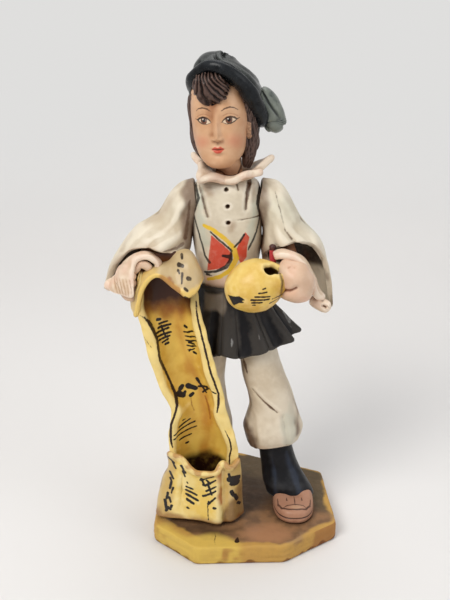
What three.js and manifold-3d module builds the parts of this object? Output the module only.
// A hand-built terracotta figurine: a youth in folk dress, with a black cap, full shirt sleeves,
// a short black skirt over wide trousers, gaiters and shoes, on an eight-sided slab. One hand holds
// the hood of a tall open basket, and the other a round jug. Every piece is a separate lump, coil
// or rolled sheet of clay, stuck to its neighbours. Millimetres, +Z up, the front faces -Y.
import * as THREE from "three";
import Module from "manifold-3d";

const wasm = await Module();
wasm.setup();

// Clay stock, and the seam left between two pieces that are stuck together.
const SEAM = 0.3;
const LEAST_EDGE = 0.03;
const SHEET = 2.2;
const STRIP = 2.0;

// Base slab.
const BASE_THICK = 8;
const BASE_EDGE = 0.9;
const BASE_OUTLINE = [
  [-38.3, -21.8], [-20.6, -39.4], [15.8, -38.0], [38.3, -20.3],
  [35.9, 22.8], [-1.3, 41.1], [-19.1, 41.1], [-37.1, 13.7],
];

// Levels of the figure above the slab's upper face.
const SHOE_TALL = 8.2;
const GAITER_FOOT = 4.6;
const GAITER_TOP = 35;
const TROUSER_HEM = 23.6;
const HIP_FLOOR = 71;
const SKIRT_HEM = 72.5;
const WAIST = 97;
const SHOULDER = 141.5;
const CHIN = 148.6;

// Feet and legs.
const LEFT_FOOT = [21.5, -6];
const RIGHT_FOOT = [-17.5, 8.6];
const SHOE_HALF_LENGTH = 15;
const SHOE_HALF_WIDTH = 8.2;
const GAITER_RADIUS = 7.3;
const LEG_RADIUS = 9.2;
const LEG_TOP_SCALE = 0.86;
const LEGS_APART = 2.2;

// Trunk, which stands a little left of the slab's middle, and the skirt round it.
const TRUNK_X = -7.4;
const TRUNK_Y = 1.2;
const TRUNK_HALF_WIDTH = 14;
const TRUNK_HALF_DEPTH = 11;
const WAIST_HALF_WIDTH = 10.8;
const WAIST_HALF_DEPTH = 9;
const SKIRT_FLARE = 15;
const SKIRT_FOLDS = 11;
const SKIRT_FOLD_DEPTH = 1.6;
const BUTTON_STEP = 6.4;
const BUTTON_HOLE = 0.8;

// Head, hair and cap.
const HEAD_X = -9.2;
const HEAD_Y = 0.4;
const HEAD_TALL = 40;
const HEAD_HALF_WIDTH = 11.3;
const HEAD_HALF_DEPTH = 12.5;
const HEAD_TURN = -0.13;
const HEAD_TILT = -0.05;
const NECK_RADIUS = 5.4;
const LOCK_RADIUS = 2.6;
const CAP_BAND = 3.1;
const CAP_HALF_WIDTH = 15.3;
const CAP_HALF_DEPTH = 15.4;
const CAP_HALF_TALL = 13.8;
const CAP_TAIL = 6;

// Collar frill.
const COLLAR_WAVES = 5;
const COLLAR_WAVE = 1.4;
const COLLAR_REACH = 8.4;

// Basket.
const BASKET_X = -18;
const BASKET_Y = -8;
const BASKET_TOP = 97;
const BASKET_HALF_WIDTH = 13;
const BASKET_DEPTH = 8.6;
const BASKET_EDGE = 2.2;
const POCKET_TALL = 28;

// Jug, with its mouth on the upper front, and the stick behind it.
const JUG_MIDDLE = [2.6, -22.0, 106];
const JUG_HALF_LENGTH = 11.6;
const JUG_RADIUS = 10.6;
const JUG_WALL = 2.2;
const JUG_MOUTH = 3.8;
const STICK_RADIUS = 1.3;
const STICK_LENGTH = 15.6;

// Arms and hands.
const ARM_RADIUS = 4.4;
const ARM_BACK = 2;
const FINGER_RADIUS = 2;
const PALM_HALF = 6.4;
const ROLL_RADIUS = 2.7;

const TAU = Math.PI * 2;
const vec = (x, y, z) => new THREE.Vector3(x, y, z);
const clamp = (t) => Math.min(1, Math.max(0, t));
const mix = (a, b, t) => a + (b - a) * t;
const ease = (from, to, x) => {
  const t = clamp((x - from) / (to - from));
  return t * t * (3 - 2 * t);
};
const hump = (x, centre, width) => Math.exp(-(((x - centre) / width) ** 2));

// Smooth values through stations placed by hand, each [place, value, value, ...].
function through(stations) {
  const last = stations.length - 1;
  const slope = (i, k) => {
    const before = stations[Math.max(i - 1, 0)];
    const after = stations[Math.min(i + 1, last)];
    return (after[k] - before[k]) / (after[0] - before[0]);
  };
  return (place) => {
    let i = 0;
    while (i < last - 1 && place > stations[i + 1][0]) i += 1;
    const span = stations[i + 1][0] - stations[i][0];
    const t = clamp((place - stations[i][0]) / span);
    const [t2, t3] = [t * t, t * t * t];
    return stations[i].slice(1).map((_, n) => {
      const k = n + 1;
      const start = (2 * t3 - 3 * t2 + 1) * stations[i][k] + (t3 - 2 * t2 + t) * span * slope(i, k);
      return start + (3 * t2 - 2 * t3) * stations[i + 1][k] + (t3 - t2) * span * slope(i + 1, k);
    });
  };
}

// Stations given as shares of the way from one level to another, as heights.
const levels = (low, high, stations) =>
  stations.map(([share, ...rest]) => [mix(low, high, share), ...rest]);

// A closed body from loops of points, joined in order and closed by a fan at each end.
function loft(loops) {
  const count = loops[0].length;
  const points = loops.flat();
  const faces = [];
  for (let row = 0; row < loops.length - 1; row += 1) {
    for (let i = 0; i < count; i += 1) {
      const [a, b] = [row * count + i, row * count + ((i + 1) % count)];
      faces.push([a, b, b + count], [a, b + count, a + count]);
    }
  }
  const fan = (loop, offset, flip) => {
    const middle = loop.reduce((sum, p) => sum.add(p), vec(0, 0, 0)).divideScalar(count);
    points.push(middle);
    for (let i = 0; i < count; i += 1) {
      const [a, b] = [offset + i, offset + ((i + 1) % count)];
      faces.push(flip ? [points.length - 1, b, a] : [points.length - 1, a, b]);
    }
  };
  const lastRow = (loops.length - 1) * count;
  fan(loops[0], 0, true);
  fan(loops.at(-1), lastRow, false);
  return { points, faces };
}

// A closed sheet of clay of a given thickness about the surface at(u, v), u and v from 0 to 1.
// With round set, u runs all the way round and the sheet is a tube with two open ends.
function sheet(across, along, at, thickness, round = false) {
  const columns = round ? across : across + 1;
  const grid = [];
  for (let j = 0; j <= along; j += 1) {
    for (let i = 0; i < columns; i += 1) grid.push(at(i / across, j / along));
  }
  const index = (i, j) => j * columns + (round ? (i + columns) % columns : i);
  const points = [[], []];
  for (let j = 0; j <= along; j += 1) {
    for (let i = 0; i < columns; i += 1) {
      const [west, east] = round ? [i - 1, i + 1] : [Math.max(i - 1, 0), Math.min(i + 1, across)];
      const [south, north] = [Math.max(j - 1, 0), Math.min(j + 1, along)];
      const du = grid[index(east, j)].clone().sub(grid[index(west, j)]);
      const dv = grid[index(i, north)].clone().sub(grid[index(i, south)]);
      const normal = du.cross(dv).normalize().multiplyScalar(thickness / 2);
      points[0].push(grid[index(i, j)].clone().add(normal));
      points[1].push(grid[index(i, j)].clone().sub(normal));
    }
  }
  const offset = grid.length;
  const faces = [];
  const quad = (a, b, c, d) => faces.push([a, b, c], [a, c, d]);
  for (let j = 0; j < along; j += 1) {
    for (let i = 0; i < across; i += 1) {
      const [a, b, c, d] = [index(i, j), index(i + 1, j), index(i + 1, j + 1), index(i, j + 1)];
      quad(a, b, c, d);
      quad(d + offset, c + offset, b + offset, a + offset);
    }
    if (!round) {
      const [w0, w1] = [index(0, j), index(0, j + 1)];
      const [e0, e1] = [index(across, j), index(across, j + 1)];
      quad(w1, w1 + offset, w0 + offset, w0);
      quad(e0, e0 + offset, e1 + offset, e1);
    }
  }
  for (let i = 0; i < across; i += 1) {
    const [s0, s1] = [index(i, 0), index(i + 1, 0)];
    const [n0, n1] = [index(i, along), index(i + 1, along)];
    quad(s0, s0 + offset, s1 + offset, s1);
    quad(n1, n1 + offset, n0 + offset, n0);
  }
  return { points: points.flat(), faces };
}

// A point on a rounded ring: power 2 is an ellipse, and more is squarer.
function ringPoint(angle, wide, deep, power = 2.2) {
  const [c, s] = [Math.cos(angle), Math.sin(angle)];
  const bend = (value) => Math.sign(value) * Math.abs(value) ** (2 / power);
  return [wide * bend(c), deep * bend(s)];
}

// An upright lump through stations [height, middle x, middle y, half width, half depth].
// shape(angle, share of the height) scales the ring, and lift does the same to its height.
function tower(stations, rows, sides, { power = 2.2, shape = () => 1, lift = () => 0 } = {}) {
  const at = through(stations);
  const [low, high] = [stations[0][0], stations.at(-1)[0]];
  const loops = [];
  for (let row = 0; row <= rows; row += 1) {
    const height = mix(low, high, row / rows);
    const [x, y, wide, deep] = at(height);
    const loop = [];
    for (let i = 0; i < sides; i += 1) {
      const angle = (i / sides) * TAU;
      const [dx, dy] = ringPoint(angle, wide, deep, power);
      const scale = shape(angle, row / rows);
      loop.push(vec(x + dx * scale, y + dy * scale, height + lift(angle, row / rows)));
    }
    loops.push(loop);
  }
  return loft(loops);
}

// A coil or limb along stations [place, x, y, z, radius], drawn in at both ends.
function coil(stations, rows, sides, flat = 1) {
  const at = through(stations);
  const [start, end] = [stations[0][0], stations.at(-1)[0]];
  const step = (end - start) / 200;
  const endScale = 0.62;
  const loops = [];
  for (let row = 0; row <= rows; row += 1) {
    const place = mix(start, end, row / rows);
    const [x, y, z, radius] = at(place);
    const before = vec(...at(Math.max(place - step, start)));
    const along = vec(...at(Math.min(place + step, end))).sub(before).normalize();
    const side = vec(0, 0, 1).cross(along);
    if (side.length() < 0.05) side.set(1, 0, 0);
    side.normalize();
    const up = along.clone().cross(side).normalize();
    const reach = radius * (row === 0 || row === rows ? endScale : 1);
    const loop = [];
    for (let i = 0; i < sides; i += 1) {
      const angle = (i / sides) * TAU;
      const point = vec(x, y, z).addScaledVector(side, Math.cos(angle) * reach);
      loop.push(point.addScaledVector(up, Math.sin(angle) * reach * flat));
    }
    loops.push(loop);
  }
  return loft(loops);
}

// A round lump: an ellipsoid with its own bumps.
function lump(middle, radii, rows, sides, bump = () => 1) {
  const polar = 0.25;
  const loops = [];
  for (let row = 0; row <= rows; row += 1) {
    const lat = mix(-Math.PI / 2 + polar, Math.PI / 2 - polar, row / rows);
    const loop = [];
    for (let i = 0; i < sides; i += 1) {
      const angle = (i / sides) * TAU;
      const way = [Math.cos(angle) * Math.cos(lat), Math.sin(angle) * Math.cos(lat), Math.sin(lat)];
      const scale = bump(angle, lat);
      loop.push(vec(...way.map((value, k) => middle[k] + value * radii[k] * scale)));
    }
    loops.push(loop);
  }
  return loft(loops);
}

// The same body pushed out along its normals, used to cut the seam in a neighbour.
function grown(body, by) {
  const normals = body.points.map(() => vec(0, 0, 0));
  for (const face of body.faces) {
    const [a, b, c] = face.map((i) => body.points[i]);
    const normal = b.clone().sub(a).cross(c.clone().sub(a));
    face.forEach((i) => normals[i].add(normal));
  }
  const points = body.points.map((p, i) => p.clone().addScaledVector(normals[i].normalize(), by));
  return { points, faces: body.faces };
}

// The body with its faces turned to point out of it.
function outward({ points, faces }) {
  let volume = 0;
  for (const face of faces) {
    const [a, b, c] = face.map((i) => points[i]);
    volume += a.dot(b.clone().cross(c));
  }
  return { points, faces: volume < 0 ? faces.map(([a, b, c]) => [c, b, a]) : faces };
}

function solidOf({ points, faces }) {
  const vertProperties = new Float32Array(points.flatMap((p) => [p.x, p.y, p.z]));
  const triVerts = new Uint32Array(faces.flat());
  return new wasm.Manifold(new wasm.Mesh({ numProp: 3, vertProperties, triVerts }));
}

const joined = (solids) => solids.reduce((sum, next) => sum.add(next));

// Cuts leave specks of edges. Each shorter than LEAST_EDGE is drawn in to one of its ends, where
// only the two faces on it close up, so that the surface stays closed.
function withoutSpecks(points, faces) {
  const around = points.map(() => new Set());
  faces.forEach((face, n) => face.forEach((i) => around[i].add(n)));
  const neighbours = (i) => new Set([...around[i]].flatMap((n) => faces[n]).filter((j) => j !== i));
  const drawIn = (keep, drop) => {
    for (const n of around[drop]) {
      if (faces[n].includes(keep)) {
        faces[n].forEach((i) => i !== drop && around[i].delete(n));
        faces[n] = null;
      } else {
        faces[n] = faces[n].map((i) => (i === drop ? keep : i));
        around[keep].add(n);
      }
    }
    around[drop].clear();
  };
  for (let keep = 0; keep < points.length; keep += 1) {
    const near = () => [...neighbours(keep)].find((drop) => {
      if (points[keep].distanceTo(points[drop]) > LEAST_EDGE) return false;
      const theirs = neighbours(drop);
      return [...neighbours(keep)].filter((i) => theirs.has(i)).length === 2;
    });
    for (let drop = near(); drop !== undefined; drop = near()) drawIn(keep, drop);
  }
  return faces.filter((face) => face);
}

function geometryOf(solid) {
  const mesh = solid.getMesh();
  const points = [];
  for (let i = 0; i < mesh.numVert; i += 1) {
    points.push(vec(...mesh.vertProperties.subarray(i * mesh.numProp, i * mesh.numProp + 3)));
  }
  const faces = [];
  for (let i = 0; i < mesh.triVerts.length; i += 3) faces.push([...mesh.triVerts.subarray(i, i + 3)]);
  const geometry = new THREE.BufferGeometry().setFromPoints(points);
  geometry.setIndex(withoutSpecks(points, faces).flat());
  geometry.computeVertexNormals();
  return geometry;
}

const paint = (color, roughness) => new THREE.MeshStandardMaterial({ color, roughness, metalness: 0 });
const CREAM = paint(0xcfc4ae, 0.6);
const FLESH = paint(0xdcb193, 0.5);
const BLACK = paint(0x26272a, 0.45);
const CAP_BLACK = paint(0x33383a, 0.35);
const HAIR = paint(0x3a2b2c, 0.35);
const YELLOW = paint(0xdcb94f, 0.45);
const RED = paint(0xc0402f, 0.5);
const EARTH = paint(0x94704a, 0.65);
const TAN = paint(0xb08468, 0.55);

// Pieces go on one after another. Each is cut back from those already there, so that a seam is
// left between them, and what a cut leaves loose is dropped.
const figure = new THREE.Group();
figure.position.z = BASE_THICK;
const built = [];

function stick(name, material, bodies, hollows = []) {
  const lumps = bodies.map(outward);
  let solid = joined(lumps.map(solidOf));
  for (const hollow of hollows) solid = solid.subtract(solidOf(outward(hollow)));
  const box = new THREE.Box3().setFromPoints(lumps.flatMap((body) => body.points));
  for (const other of built) {
    if (other.box.intersectsBox(box)) solid = solid.subtract(other.seam);
  }
  const parts = solid.decompose();
  const largest = parts.reduce((best, part) => (part.volume() > best.volume() ? part : best));
  const mesh = new THREE.Mesh(geometryOf(largest), material);
  mesh.name = name;
  figure.add(mesh);
  const seam = joined(lumps.map((body) => solidOf(grown(body, SEAM))));
  built.push({ box: box.expandByScalar(SEAM), seam });
}

// Base: a cut slab with softened edges.
function baseSlab() {
  const outline = new THREE.Shape(BASE_OUTLINE.map(([x, y]) => new THREE.Vector2(x, y)));
  const geometry = new THREE.ExtrudeGeometry(outline, {
    depth: BASE_THICK - 2 * BASE_EDGE,
    bevelThickness: BASE_EDGE,
    bevelSize: BASE_EDGE,
    bevelOffset: -BASE_EDGE,
    bevelSegments: 2,
  });
  geometry.translate(0, 0, BASE_EDGE);
  const mesh = new THREE.Mesh(geometry, EARTH);
  mesh.name = "base_slab";
  return mesh;
}

// Legs: gaiters that flare over the instep and run up inside the trousers, with the shoes pressed
// on in front. Stations are [share of the height, bow x, bow y, scale across, scale deep], about a
// straight line from the place below to the place above.
function leg(low, high, from, to, radius, stations, rows, options) {
  const ring = ([share, bowX, bowY, wide, deep]) => [
    share,
    mix(from[0], to[0], share) + bowX,
    mix(from[1], to[1], share) + bowY,
    radius * wide,
    radius * deep,
  ];
  return tower(levels(low, high, stations.map(ring)), rows, 16, options);
}
const LEFT_ANKLE = [LEFT_FOOT[0] - 9.1, LEFT_FOOT[1] + 6.6];
const RIGHT_ANKLE = [RIGHT_FOOT[0] + 0.3, RIGHT_FOOT[1] - 1.4];
const CROTCH_X = TRUNK_X + 1.8;
const HIP_REACH = LEG_RADIUS * LEG_TOP_SCALE + LEGS_APART / 2;
const LEFT_HIP = [CROTCH_X + HIP_REACH, TRUNK_Y - 0.2];
const RIGHT_HIP = [CROTCH_X - HIP_REACH, TRUNK_Y + 1];

const leftGaiter = leg(
  GAITER_FOOT, GAITER_TOP, [LEFT_FOOT[0] - 1.9, LEFT_ANKLE[1] + 0.6], LEFT_ANKLE, GAITER_RADIUS,
  [[0, 0, 0, 1.26, 1.15], [0.21, -1.2, 0, 1.2, 1.1], [0.41, -1.5, 0, 1.08, 1.04], [0.64, -1.4, 0, 1, 1],
    [1, -0.6, 0, 0.88, 0.88]],
  5,
);
const rightGaiter = leg(
  GAITER_FOOT, GAITER_TOP, [RIGHT_FOOT[0], RIGHT_FOOT[1] + 4.8], RIGHT_ANKLE, GAITER_RADIUS,
  [[0, 0, 0, 1.18, 1.12], [0.24, 0, 0, 1.08, 1.04], [0.64, 0, -0.6, 1, 1], [1, 0, -0.8, 0.88, 0.88]],
  5,
);

function shoe([x, y]) {
  const loop = (height, scale, toeDrop = 0) => {
    const points = [];
    for (let i = 0; i < 16; i += 1) {
      const [dx, dy] = ringPoint((i / 16) * TAU, SHOE_HALF_WIDTH, SHOE_HALF_LENGTH, 2.5);
      const heel = 1 - 0.2 * ease(0, SHOE_HALF_LENGTH, dy);
      const toe = ease(0, SHOE_HALF_LENGTH, -dy);
      points.push(vec(x + dx * heel * scale, y + dy * scale, height - toe * toeDrop));
    }
    return points;
  };
  return loft([
    loop(SEAM, 0.98),
    loop(SHOE_TALL * 0.35, 1),
    loop(SHOE_TALL * 0.68, 0.95, 0.6),
    loop(SHOE_TALL * 0.88, 0.8, 1.4),
    loop(SHOE_TALL, 0.5, 1.6),
  ]);
}

// Trousers: wide tubes that belly out above the hem, which is scooped out round the gaiter.
const LEG_TOP = HIP_FLOOR + 8;
const legFolds = (angle, share) => 1 + 0.035 * Math.sin(3 * angle + 3.4 * share) * ease(0.7, 0.1, share);
const leftTrouser = leg(
  TROUSER_HEM, LEG_TOP, LEFT_ANKLE, LEFT_HIP, LEG_RADIUS,
  [[0, 0, 0, 1.2, 1.09], [0.08, 0.7, 0, 1.33, 1.2], [0.2, 1.3, 0, 1.39, 1.22], [0.39, 2.7, 0, 1.08, 1.04],
    [0.5, 2.5, 0, 1.02, 1], [0.62, 1.3, 0, 0.96, 0.98], [0.78, 0.5, 0, 0.89, 0.96],
    [1, 0, 0, LEG_TOP_SCALE, 0.91]],
  10,
  { shape: legFolds, lift: (angle, share) => 3 * Math.cos(angle) * ease(0.19, 0, share) },
);
const rightTrouser = leg(
  TROUSER_HEM, LEG_TOP, RIGHT_ANKLE, RIGHT_HIP, LEG_RADIUS,
  [[0, 0, 0, 1.2, 1.09], [0.08, -0.4, 0, 1.28, 1.17], [0.22, -0.8, -0.3, 1.27, 1.17],
    [0.4, -1.2, -0.5, 1.05, 1.04], [0.55, -1.6, -0.7, 0.96, 1], [0.77, -1.1, -0.6, 0.93, 0.96],
    [1, 0, 0, LEG_TOP_SCALE, 0.91]],
  10,
  { shape: legFolds },
);
const hemHollow = (x, y) =>
  tower(
    [
      [TROUSER_HEM - 4, x, y, LEG_RADIUS * 1.13, LEG_RADIUS * 1.04],
      [TROUSER_HEM + 4, x, y, LEG_RADIUS * 1.06, LEG_RADIUS * 0.98],
      [TROUSER_HEM + 9, x, y, LEG_RADIUS * 0.7, LEG_RADIUS * 0.67],
    ],
    3, 12,
  );

// Hips: the lump of clay under the skirt that carries legs, skirt and trunk.
const hips = tower(
  levels(HIP_FLOOR, WAIST, [
    [0, TRUNK_X + 0.8, TRUNK_Y, WAIST_HALF_WIDTH * 1.09, WAIST_HALF_DEPTH * 0.98],
    [0.35, TRUNK_X + 0.8, TRUNK_Y, WAIST_HALF_WIDTH * 1.2, WAIST_HALF_DEPTH * 1.07],
    [0.73, TRUNK_X + 0.6, TRUNK_Y, WAIST_HALF_WIDTH * 1.13, WAIST_HALF_DEPTH * 1.04],
    [1, TRUNK_X + 0.5, TRUNK_Y, WAIST_HALF_WIDTH, WAIST_HALF_DEPTH],
  ]),
  4, 14,
);

// Trunk in a shirt, with three pricked buttonholes.
const TRUNK_POWER = 2.4;
const TRUNK_TOP = SHOULDER + 2.4;
const trunkStations = levels(WAIST + SEAM, TRUNK_TOP, [
  [0, TRUNK_X + 0.5, TRUNK_Y, WAIST_HALF_WIDTH, WAIST_HALF_DEPTH],
  [0.21, TRUNK_X - 0.1, TRUNK_Y - 0.2, TRUNK_HALF_WIDTH * 0.87, TRUNK_HALF_DEPTH * 0.91],
  [0.42, TRUNK_X - 0.1, TRUNK_Y - 0.4, TRUNK_HALF_WIDTH * 0.98, TRUNK_HALF_DEPTH * 0.98],
  [0.68, TRUNK_X - 0.6, TRUNK_Y - 0.4, TRUNK_HALF_WIDTH, TRUNK_HALF_DEPTH],
  [0.85, TRUNK_X - 0.4, TRUNK_Y - 0.2, TRUNK_HALF_WIDTH * 0.98, TRUNK_HALF_DEPTH * 0.94],
  [0.95, TRUNK_X - 0.2, TRUNK_Y, TRUNK_HALF_WIDTH * 0.87, TRUNK_HALF_DEPTH * 0.82],
  [1, TRUNK_X, TRUNK_Y + 0.3, TRUNK_HALF_WIDTH * 0.61, TRUNK_HALF_DEPTH * 0.6],
]);
const trunk = tower(trunkStations, 9, 20, { power: TRUNK_POWER });
const trunkAt = through(trunkStations);
const buttonHoles = [0, 1, 2].map((n) => {
  const height = SHOULDER - 1.5 - n * BUTTON_STEP;
  const [middle, back, , deep] = trunkAt(height);
  const [x, front] = [middle + 0.3 * n, back - deep];
  return coil([[0, x, front + 1.4, height, BUTTON_HOLE], [1, x, front - 1.6, height, BUTTON_HOLE]], 3, 6);
});

// Skirt: a sheet wrapped on the hips, which flares into deep folds and rises at the figure's left.
const skirt = sheet(
  44, 4,
  (u, v) => {
    const angle = u * TAU;
    const [c, s] = [Math.cos(angle), Math.sin(angle)];
    const drop = 1 - v;
    const flare = SKIRT_FLARE * drop ** 1.25;
    const fold = Math.sin(SKIRT_FOLDS * angle + 0.8) * drop * SKIRT_FOLD_DEPTH;
    const wide = WAIST_HALF_WIDTH + SEAM + SHEET / 2 + flare * (c > 0 ? 1 : 0.36) + fold;
    const deep = WAIST_HALF_DEPTH + SEAM + SHEET / 2 + flare * (s > 0 ? 0.46 : 0.27) + fold;
    const hem = SKIRT_HEM + 9 * ease(0.55, 1, c) + Math.cos(SKIRT_FOLDS * angle);
    return vec(TRUNK_X + 0.5 + c * wide, TRUNK_Y + s * deep, mix(hem, WAIST, v));
  },
  SHEET, true,
);

// Neck and head. Places on the head are shares of its half width, half depth and height, from its
// middle at the chin, and are then turned and tilted with it.
const onHead = (body) => {
  const matrix = new THREE.Matrix4().makeTranslation(HEAD_X, HEAD_Y, CHIN);
  matrix.multiply(new THREE.Matrix4().makeRotationY(HEAD_TILT));
  matrix.multiply(new THREE.Matrix4().makeRotationZ(HEAD_TURN));
  return { points: body.points.map((p) => p.clone().applyMatrix4(matrix)), faces: body.faces };
};
const headRing = ([share, x, y, wide, deep]) => [
  share * HEAD_TALL,
  x * HEAD_HALF_WIDTH,
  y * HEAD_HALF_DEPTH,
  wide * HEAD_HALF_WIDTH,
  deep * HEAD_HALF_DEPTH,
];
const headPlace = ([x, y, share]) => [x * HEAD_HALF_WIDTH, y * HEAD_HALF_DEPTH, share * HEAD_TALL];
const neck = tower(
  [
    [SHOULDER, TRUNK_X + 0.5, TRUNK_Y - 0.6, NECK_RADIUS, NECK_RADIUS],
    [CHIN - 3, TRUNK_X + 0.4, TRUNK_Y - 1, NECK_RADIUS * 0.96, NECK_RADIUS * 0.93],
    [CHIN + 5, HEAD_X + 1.2, HEAD_Y, NECK_RADIUS, NECK_RADIUS],
  ],
  3, 12,
);
const noseBump = (angle, share) => 1 + 0.13 * hump(angle, TAU * 0.75, 0.2) * hump(share, 0.26, 0.05);
const skull = onHead(
  tower(
    [
      [0, 0, -0.45, 0.37, 0.29],
      [0.03, 0, -0.42, 0.51, 0.43],
      [0.1, 0, -0.29, 0.73, 0.64],
      [0.21, 0, -0.11, 0.88, 0.85],
      [0.37, 0, -0.02, 0.97, 0.98],
      [0.55, 0, 0.02, 1, 1],
      [0.75, 0, 0.05, 0.92, 0.93],
      [0.9, 0, 0.08, 0.62, 0.64],
      [0.98, 0, 0.1, 0.27, 0.29],
    ].map(headRing),
    13, 20,
    { shape: noseBump },
  ),
);

// Hair: a thick layer round the back and sides, a tuft over the brow, and a lock on either side.
const hairBack = onHead(
  tower(
    [
      [0.04, 0.08, 0.42, 0.8, 0.48],
      [0.12, 0.09, 0.37, 1.06, 0.7],
      [0.25, 0.08, 0.3, 1.17, 0.85],
      [0.45, 0.05, 0.26, 1.17, 0.93],
      [0.65, 0.02, 0.22, 1.1, 0.93],
      [0.8, 0, 0.19, 0.87, 0.78],
    ].map(headRing),
    6, 20,
    { shape: (angle, share) => 1 + 0.03 * Math.sin(9 * angle + 14 * share) },
  ),
);
const fringe = onHead(
  lump(
    headPlace([-0.14, -0.92, 0.765]),
    [HEAD_HALF_WIDTH * 0.6, HEAD_HALF_DEPTH * 0.32, HEAD_TALL * 0.155],
    7, 14,
    (angle) => 1 + 0.06 * Math.sin(7 * angle),
  ),
);
function lock(places, rows) {
  const stations = places.map(([x, y, share, scale], n) => [
    n, ...headPlace([x, y, share]), LOCK_RADIUS * scale,
  ]);
  return onHead(coil(stations, rows, 8));
}
const leftLock = lock(
  [[0.94, -0.43, 0.68, 0.75], [1.03, -0.37, 0.48, 1], [0.99, -0.26, 0.25, 1], [0.85, -0.13, 0.05, 1],
    [0.74, 0.02, -0.06, 0.6]],
  6,
);
const rightLock = lock(
  [[-0.92, -0.37, 0.7, 0.7], [-1.03, -0.27, 0.5, 0.85], [-1.01, -0.21, 0.3, 0.75],
    [-0.9, -0.11, 0.15, 0.5]],
  5,
);

// Cap: a stuffed crown over a thick roll, which slopes from the brow down behind the left ear and
// round the back of the head, and a loose bag end that falls beside the neck. It sits on the head
// but isn't turned with it.
const onBrow = ([x, y, share]) => {
  const [dx, dy, dz] = headPlace([x, y, share]);
  return [HEAD_X + dx, HEAD_Y + dy, CHIN + dz];
};
function capCoil(places, radius, rows, sides, flat) {
  const stations = places.map(([x, y, share, scale], n) => [n, ...onBrow([x, y, share]), radius * scale]);
  return coil(stations, rows, sides, flat);
}
const capBand = capCoil(
  [
    [-1.08, 0.3, 0.68, 0.9],
    [-1.04, -0.51, 0.83, 1],
    [-0.55, -0.93, 0.95, 1],
    [0.11, -1.06, 0.9, 1.1],
    [0.67, -0.85, 0.73, 1.15],
    [1.08, -0.38, 0.53, 1.1],
    [1.27, 0.21, 0.39, 1],
    [1.02, 0.86, 0.4, 1],
    [0.2, 1.24, 0.46, 1],
    [-0.62, 1.06, 0.56, 1],
    [-1.04, 0.5, 0.66, 0.9],
  ],
  CAP_BAND, 24, 9,
);
const [capX, capY, capZ] = onBrow([0.17, 0.12, 0.715]);
const capFolds = (angle, lat) => 1 + 0.035 * Math.sin(angle * 3 + lat * 5);
const capCrown = lump([capX, capY, capZ], [CAP_HALF_WIDTH, CAP_HALF_DEPTH, CAP_HALF_TALL], 9, 20, capFolds);
const CAP_SLOPE_BACK = 0.82;
const CAP_SLOPE_LEFT = 0.34;
const underCap = lump([capX, capY, capZ - 47.8], [60, 60, 40], 6, 20);
underCap.points.forEach((p) => {
  p.z -= CAP_SLOPE_BACK * (p.y - capY) + CAP_SLOPE_LEFT * (p.x - capX);
});
const capTail = capCoil(
  [[1.11, 0.48, 0.735, 0.73], [1.52, 0.42, 0.61, 1], [1.79, 0.34, 0.445, 0.9], [1.77, 0.26, 0.325, 0.5]],
  CAP_TAIL, 6, 10, 0.86,
);

// Collar: one frilled strip round the neck, which lifts at both sides.
const collar = sheet(
  30, 3,
  (u, v) => {
    const angle = u * TAU;
    const [c, s] = [Math.cos(angle), Math.sin(angle)];
    const wave = Math.sin(COLLAR_WAVES * angle + 0.6) * COLLAR_WAVE * v;
    const wide = NECK_RADIUS + 2.4 + COLLAR_REACH * v * 0.8 + wave;
    const deep = NECK_RADIUS + 1.6 + COLLAR_REACH * v * 0.6 + wave;
    const height = SHOULDER + mix(2, 5.6 + 2.4 * c * c, v ** 0.8) + wave;
    return vec(TRUNK_X + 1.6 + c * wide, TRUNK_Y - 0.4 + s * deep, height);
  },
  STRIP, true,
);

// Jug: a hollow egg on its side that narrows to the fist.
function jugBody(shrink) {
  const [x, y, z] = JUG_MIDDLE;
  const polar = 0.2;
  const loops = [];
  for (let row = 0; row <= 8; row += 1) {
    const lat = mix(-Math.PI / 2 + polar, Math.PI / 2 - polar, row / 8);
    const along = Math.sin(lat) * (JUG_HALF_LENGTH - shrink);
    const neckIn = 1 - 0.22 * ease(0, JUG_HALF_LENGTH, along);
    const radius = Math.cos(lat) ** 0.9 * (JUG_RADIUS - shrink) * neckIn;
    const loop = [];
    for (let i = 0; i < 14; i += 1) {
      const angle = (i / 14) * TAU;
      loop.push(vec(x + along, y + Math.cos(angle) * radius, z + Math.sin(angle) * radius));
    }
    loops.push(loop);
  }
  return loft(loops);
}
const [jugX, jugY, jugZ] = JUG_MIDDLE;
const jugMouth = coil(
  [
    [0, jugX + 5, jugY - 1.6, jugZ - 1, JUG_MOUTH],
    [1, jugX + 5.6, jugY - 4.6, jugZ + JUG_RADIUS + 5, JUG_MOUTH],
  ],
  4, 12,
);
const stickAt = [jugX + 7, jugY + JUG_RADIUS * 0.88, jugZ - 2];
const redStick = coil(
  [
    [0, ...stickAt, STICK_RADIUS],
    [1, stickAt[0] + 0.4, stickAt[1], stickAt[2] + STICK_LENGTH, STICK_RADIUS],
  ],
  4, 8,
);

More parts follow.
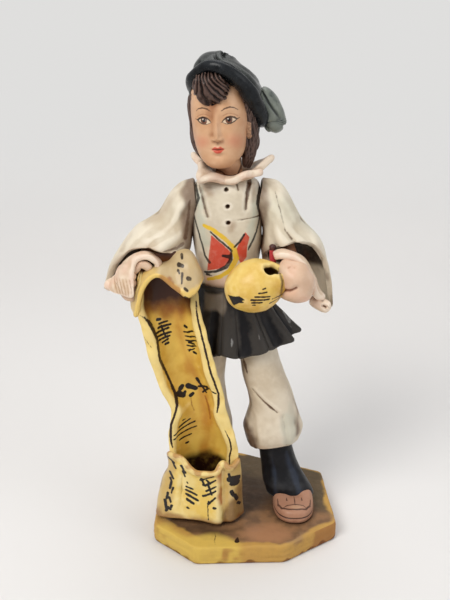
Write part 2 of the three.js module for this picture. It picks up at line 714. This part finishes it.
// Basket: a tall sheet bent like half a pipe with its edges turned out, a pocket across the front
// of its foot, and a hood that curls forward over its top. Stations are [share of the height,
// shift x, more half width, shift y].
const basketAt = through(
  levels(0, BASKET_TOP, [
    [0, 0, 0.2, 0],
    [0.21, 0.8, 1.2, -0.2],
    [0.32, 1, 1.2, -0.6],
    [0.39, 0.2, 0.6, -1],
    [0.46, -0.6, -0.6, -1.4],
    [0.54, -1.4, -1.8, -2],
    [0.62, -3.6, -0.8, -2.6],
    [0.7, -6, -0.6, -3.2],
    [0.8, -8.6, -0.4, -3.8],
    [0.91, -11, -0.7, -4.2],
    [1, -13, -0.9, -4.4],
  ]),
);
const FOLD_AT = 6 / 7;
const basketWall = sheet(
  14, 12,
  (u, v) => {
    const height = mix(SEAM, BASKET_TOP + 20 * Math.sin(Math.PI * u) ** 0.5, v);
    const [shift, more, back] = basketAt(height);
    const side = 2 * u - 1;
    const bend = clamp(Math.abs(side) / FOLD_AT) * Math.PI * 0.46;
    const turnedOut = clamp((Math.abs(side) - FOLD_AT) / (1 - FOLD_AT)) * BASKET_EDGE;
    const trough = (BASKET_HALF_WIDTH + more - BASKET_EDGE) * (Math.sin(bend) / Math.sin(Math.PI * 0.46));
    const x = BASKET_X + shift + Math.sign(side) * (trough + turnedOut);
    return vec(x, BASKET_Y + back - BASKET_DEPTH * (1 - Math.cos(bend)), height);
  },
  SHEET,
);
// Pocket stations are [place, foot x, foot y, foot height, rim x, rim y, rim height], from the
// basket's foot and the pocket's own height.
const pocketAt = through([
  [0, -18.6, -3.5, 1.2, -14.6, -6, 2.6],
  [0.1, -19, -8.6, 0.9, -13.4, -9.6, 4.2],
  [0.22, -13.6, -12, 1, -9.4, -12.6, 5],
  [0.36, -7, -14.2, 1.6, -5, -14, 0.2],
  [0.52, 0, -16, 1.8, 0.6, -14.4, -2.6],
  [0.66, 6, -16.8, 1.2, 5.6, -13.8, -1.8],
  [0.76, 9, -13.4, 0.8, 8.4, -12.2, 1],
  [0.86, 12.6, -12.8, 0.8, 11.4, -12, -0.6],
  [1, 17, -6.4, 1, 15.4, -7.4, 0.6],
]);
const basketPocket = sheet(
  22, 4,
  (u, v) => {
    const [fx, fy, fz, rx, ry, rz] = pocketAt(u);
    const waist = Math.sin(Math.PI * v) * 1.2;
    const y = BASKET_Y + mix(fy, ry, v) + waist;
    return vec(BASKET_X + mix(fx, rx, v), y, mix(fz, POCKET_TALL + rz, v));
  },
  SHEET,
);
// Hood stations are [place, back x, y, height, lip x, y, height], from the top of the basket.
const hoodAt = through([
  [0, -13.4, -3, -4, -12.2, -9.2, -4.6],
  [0.1, -14, -1.6, 2, -10.6, -10, 1],
  [0.22, -12.6, -0.6, 8.4, -8.8, -10.4, 7.4],
  [0.34, -8.4, 0, 11.8, -5.6, -10.6, 11.8],
  [0.45, -3.4, 0.2, 13.4, -2, -11.2, 12.4],
  [0.56, 1, 0.4, 15.2, 2.6, -12.4, 7],
  [0.68, 4, 0.4, 19, 6.8, -13.4, 3.4],
  [0.8, 7.8, 0.4, 19.8, 10.6, -12.4, 5.4],
  [0.9, 10.8, -0.4, 15.4, 13, -9.6, 9],
  [1, 12.4, -2, 9, 13.4, -6, 11],
]);
const [topShift, , topBack] = basketAt(BASKET_TOP);
const TOP_X = BASKET_X + topShift;
const TOP_Y = BASKET_Y + topBack;
const basketHood = sheet(
  20, 4,
  (u, v) => {
    const [bx, by, bz, lx, ly, lz] = hoodAt(u);
    const arch = Math.sin(Math.PI * v) * mix(0.6, 3.2, hump(u, 0.72, 0.26));
    const [x, y, z] = [mix(bx, lx, v), mix(by, ly, v) - arch * 0.3, mix(bz, lz, v) + arch];
    return vec(TOP_X + x, TOP_Y + y, BASKET_TOP + z);
  },
  SHEET,
);

// Arms run from the shoulders to the wrists inside the sleeves and carry the hands.
const SLEEVE_DROP = 5.5;
const RIGHT_SHOULDER = [TRUNK_X - TRUNK_HALF_WIDTH + 0.4, TRUNK_Y - 0.2, SHOULDER - SLEEVE_DROP];
const LEFT_SHOULDER = [TRUNK_X + TRUNK_HALF_WIDTH - 0.6, TRUNK_Y - 0.2, SHOULDER - SLEEVE_DROP];
const RIGHT_WRIST = [TOP_X - 16.6, TOP_Y - 2.2, BASKET_TOP + 7.4];
const LEFT_WRIST = [JUG_MIDDLE[0] + JUG_HALF_LENGTH + 5.2, JUG_MIDDLE[1] + 1.6, JUG_MIDDLE[2]];
const between = (from, to, share) => from.map((value, k) => mix(value, to[k], share));
const shifted = (place, move) => place.map((value, k) => value + move[k]);
const arm = (from, to) =>
  coil(
    [
      [0, ...from, ARM_RADIUS],
      [1, ...shifted(between(from, to, 0.4), [0, ARM_BACK, 2]), ARM_RADIUS],
      [2, ...shifted(between(from, to, 0.75), [0, ARM_BACK, 0]), ARM_RADIUS * 0.95],
      [3, ...to, ARM_RADIUS * 0.8],
    ],
    5, 9,
  );

// Hands: a pinched palm, with finger coils or a closed fist, and a thumb.
const rightFingers = [0, 1, 2, 3].map((n) => {
  const drop = 3.9 * n;
  const root = shifted(RIGHT_WRIST, [-2.8, -1.4, 5.2 - drop]);
  const knuckle = shifted(RIGHT_WRIST, [-0.4, -6.4, 3.4 - drop]);
  const tip = shifted(RIGHT_WRIST, [2.2, -7.2, 1.6 - drop * 0.85]);
  return coil(
    [[0, ...root, FINGER_RADIUS], [1, ...knuckle, FINGER_RADIUS], [2, ...tip, FINGER_RADIUS * 0.8]], 4, 7,
  );
});
const rightThumb = coil(
  [
    [0, ...shifted(RIGHT_WRIST, [-0.8, -1, 6]), FINGER_RADIUS * 1.2],
    [1, ...shifted(RIGHT_WRIST, [3.2, -4, 8.6]), FINGER_RADIUS * 1.15],
    [2, ...shifted(RIGHT_WRIST, [8, -5.2, 8]), FINGER_RADIUS * 0.9],
  ],
  4, 8,
);
const rightPalm = lump(RIGHT_WRIST, [PALM_HALF * 0.88, PALM_HALF * 0.9, PALM_HALF * 1.28], 6, 12);
const leftPalm = lump(LEFT_WRIST, [PALM_HALF * 1.06, PALM_HALF * 1.06, PALM_HALF * 1.22], 7, 14);
const leftThumb = coil(
  [
    [0, ...shifted(LEFT_WRIST, [2.6, -3, 4.4]), FINGER_RADIUS * 1.3],
    [1, ...shifted(LEFT_WRIST, [-2.8, -5.6, 4]), FINGER_RADIUS * 1.25],
    [2, ...shifted(LEFT_WRIST, [-6.2, -5.2, 1.4]), FINGER_RADIUS],
  ],
  4, 8,
);

// Cuffs: a strip laid over each wrist, and a short roll at its outer end. Stations are [place,
// shift x, y, z, width of the strip], from the wrist.
function cuff(wrist, stations, rows) {
  const at = through(stations);
  return sheet(
    rows, 2,
    (u, v) => {
      const [x, y, z, width] = at(u);
      const ripple = 0.9 * Math.sin(9 * u) * v;
      return vec(wrist[0] + x, wrist[1] + y + width * v, wrist[2] + z + ripple);
    },
    STRIP,
  );
}
const rightCuff = cuff(
  RIGHT_WRIST,
  [[0, 10, -3.2, 8.6, 7], [0.2, 7, -3.8, 12.6, 9], [0.45, 1.6, -2.4, 10.2, 10.4], [0.75, -4.6, 0, 2, 10],
    [1, -8.2, 2.2, -3.4, 8]],
  10,
);
const leftCuff = cuff(
  LEFT_WRIST,
  [[0, -9.6, 1.8, 10, 7], [0.16, -6.4, 1.4, 12.6, 9], [0.4, 0.9, 1.8, 9.6, 10.4], [0.6, 6.8, 2.8, 2, 10.4],
    [0.8, 9.6, 4, -6, 10], [1, 12.4, 5.6, -10.4, 8]],
  12,
);
const rollAlong = (wrist, start, way) => {
  const from = shifted(wrist, start);
  const at = (share) => shifted(from, way.map((value) => value * share));
  const bore = ROLL_RADIUS * 0.4;
  return {
    body: coil([[0, ...from, ROLL_RADIUS], [1, ...at(1), ROLL_RADIUS]], 3, 8),
    hole: coil([[0, ...at(0.4), bore], [1, ...at(1.5), bore * 1.2]], 3, 6),
  };
};
const rightRoll = rollAlong(RIGHT_WRIST, [-5.8, 2, -2.4], [-3, -3, -1.8]);
const leftRoll = rollAlong(LEFT_WRIST, [11, 6.6, -10.4], [3.4, -3.2, -3.4]);

// Sleeves: a sheet rolled into a wide bell on the line from shoulder to wrist. The front edge is
// cut back. Stations are [share of the line, outer edge x, y, z, inner edge x, y, z, half depth].
function sleeve(from, to, stations, cutBack) {
  const at = through(stations);
  return sheet(
    18, 5,
    (u, v) => {
      const angle = u * TAU;
      const front = Math.max(0, -Math.sin(angle));
      const share = v * (1 - cutBack * front ** 0.7);
      const line = between(from, to, share);
      const edges = at(share);
      const deep = edges[6] * (1 + 0.1 * Math.sin(5 * angle + 4 * v) * v);
      const side = Math.cos(angle) / 2;
      const [x, y, z] = line.map((value, k) => {
        const middle = value + (edges[k] + edges[k + 3]) / 2;
        return middle + side * (edges[k] - edges[k + 3]);
      });
      return vec(x, y + Math.sin(angle) * deep, z);
    },
    SHEET, true,
  );
}
const rightSleeve = sleeve(
  RIGHT_SHOULDER, RIGHT_WRIST,
  [
    [0, 0.6, 0, 6, 1, 0, -6, 6],
    [0.2, -0.7, 3.1, 9.3, 3.9, 3.1, -6.7, 8.6],
    [0.4, -2.4, 5.2, 5.6, 8.2, 5.2, -5.4, 10],
    [0.6, -7, 7, 5.6, 13.2, 7.4, -1.4, 10.6],
    [0.8, -9.1, 8.1, 1.3, 18.3, 9.5, 2.7, 10],
    [1, -9, 9, -5.8, 23.2, 11.6, 6, 8],
  ],
  0.32,
);
const leftSleeve = sleeve(
  LEFT_SHOULDER, LEFT_WRIST,
  [
    [0, -0.2, 0, 6, -0.6, 0, -6, 6],
    [0.2, 4.7, 4.3, 9.4, -0.9, 4.3, -7, 8.6],
    [0.4, 9.2, 7.6, 2.6, -2.4, 7.6, -6, 10],
    [0.6, 14.6, 10.4, 0, -4.6, 10.8, -2.4, 10.6],
    [0.8, 15.9, 12.5, -7, -6.9, 14.1, 0.6, 10],
    [1, 15, 14.4, -15, -8.8, 17.4, 2, 8],
  ],
  0.36,
);

stick("left_gaiter", BLACK, [leftGaiter]);
stick("right_gaiter", BLACK, [rightGaiter]);
stick("left_shoe", TAN, [shoe(LEFT_FOOT)]);
stick("right_shoe", TAN, [shoe(RIGHT_FOOT)]);
stick("left_trouser_leg", CREAM, [leftTrouser], [hemHollow(...LEFT_ANKLE)]);
stick("right_trouser_leg", CREAM, [rightTrouser], [hemHollow(...RIGHT_ANKLE)]);
stick("hips", CREAM, [hips]);
stick("trunk", CREAM, [trunk], buttonHoles);
stick("skirt", BLACK, [skirt]);
stick("head", FLESH, [skull]);
stick("neck", FLESH, [neck]);
stick("hair_fringe", HAIR, [fringe]);
stick("hair_left_lock", HAIR, [leftLock]);
stick("hair_right_lock", HAIR, [rightLock]);
stick("cap_band", CAP_BLACK, [capBand]);
stick("hair_back", HAIR, [hairBack]);
stick("collar_frill", CREAM, [collar]);
stick("cap_crown", CAP_BLACK, [capCrown], [underCap]);
stick("cap_tail", CAP_BLACK, [capTail]);
stick("jug", YELLOW, [jugBody(0)], [jugBody(JUG_WALL), jugMouth]);
stick("basket_hood", YELLOW, [basketHood]);
stick("basket_wall", YELLOW, [basketWall]);
stick("basket_pocket", YELLOW, [basketPocket]);
stick("right_arm", FLESH, [arm(RIGHT_SHOULDER, RIGHT_WRIST)]);
stick("left_arm", FLESH, [arm(LEFT_SHOULDER, LEFT_WRIST)]);
stick("right_hand", FLESH, [rightPalm, ...rightFingers, rightThumb]);
stick("left_hand", FLESH, [leftPalm, leftThumb]);
stick("red_stick", RED, [redStick]);
stick("right_cuff", CREAM, [rightCuff, rightRoll.body], [rightRoll.hole]);
stick("left_cuff", CREAM, [leftCuff, leftRoll.body], [leftRoll.hole]);
stick("right_sleeve", CREAM, [rightSleeve]);
stick("left_sleeve", CREAM, [leftSleeve]);

const figurine = new THREE.Group();
figurine.add(baseSlab());
figurine.add(figure);

export default figurine;
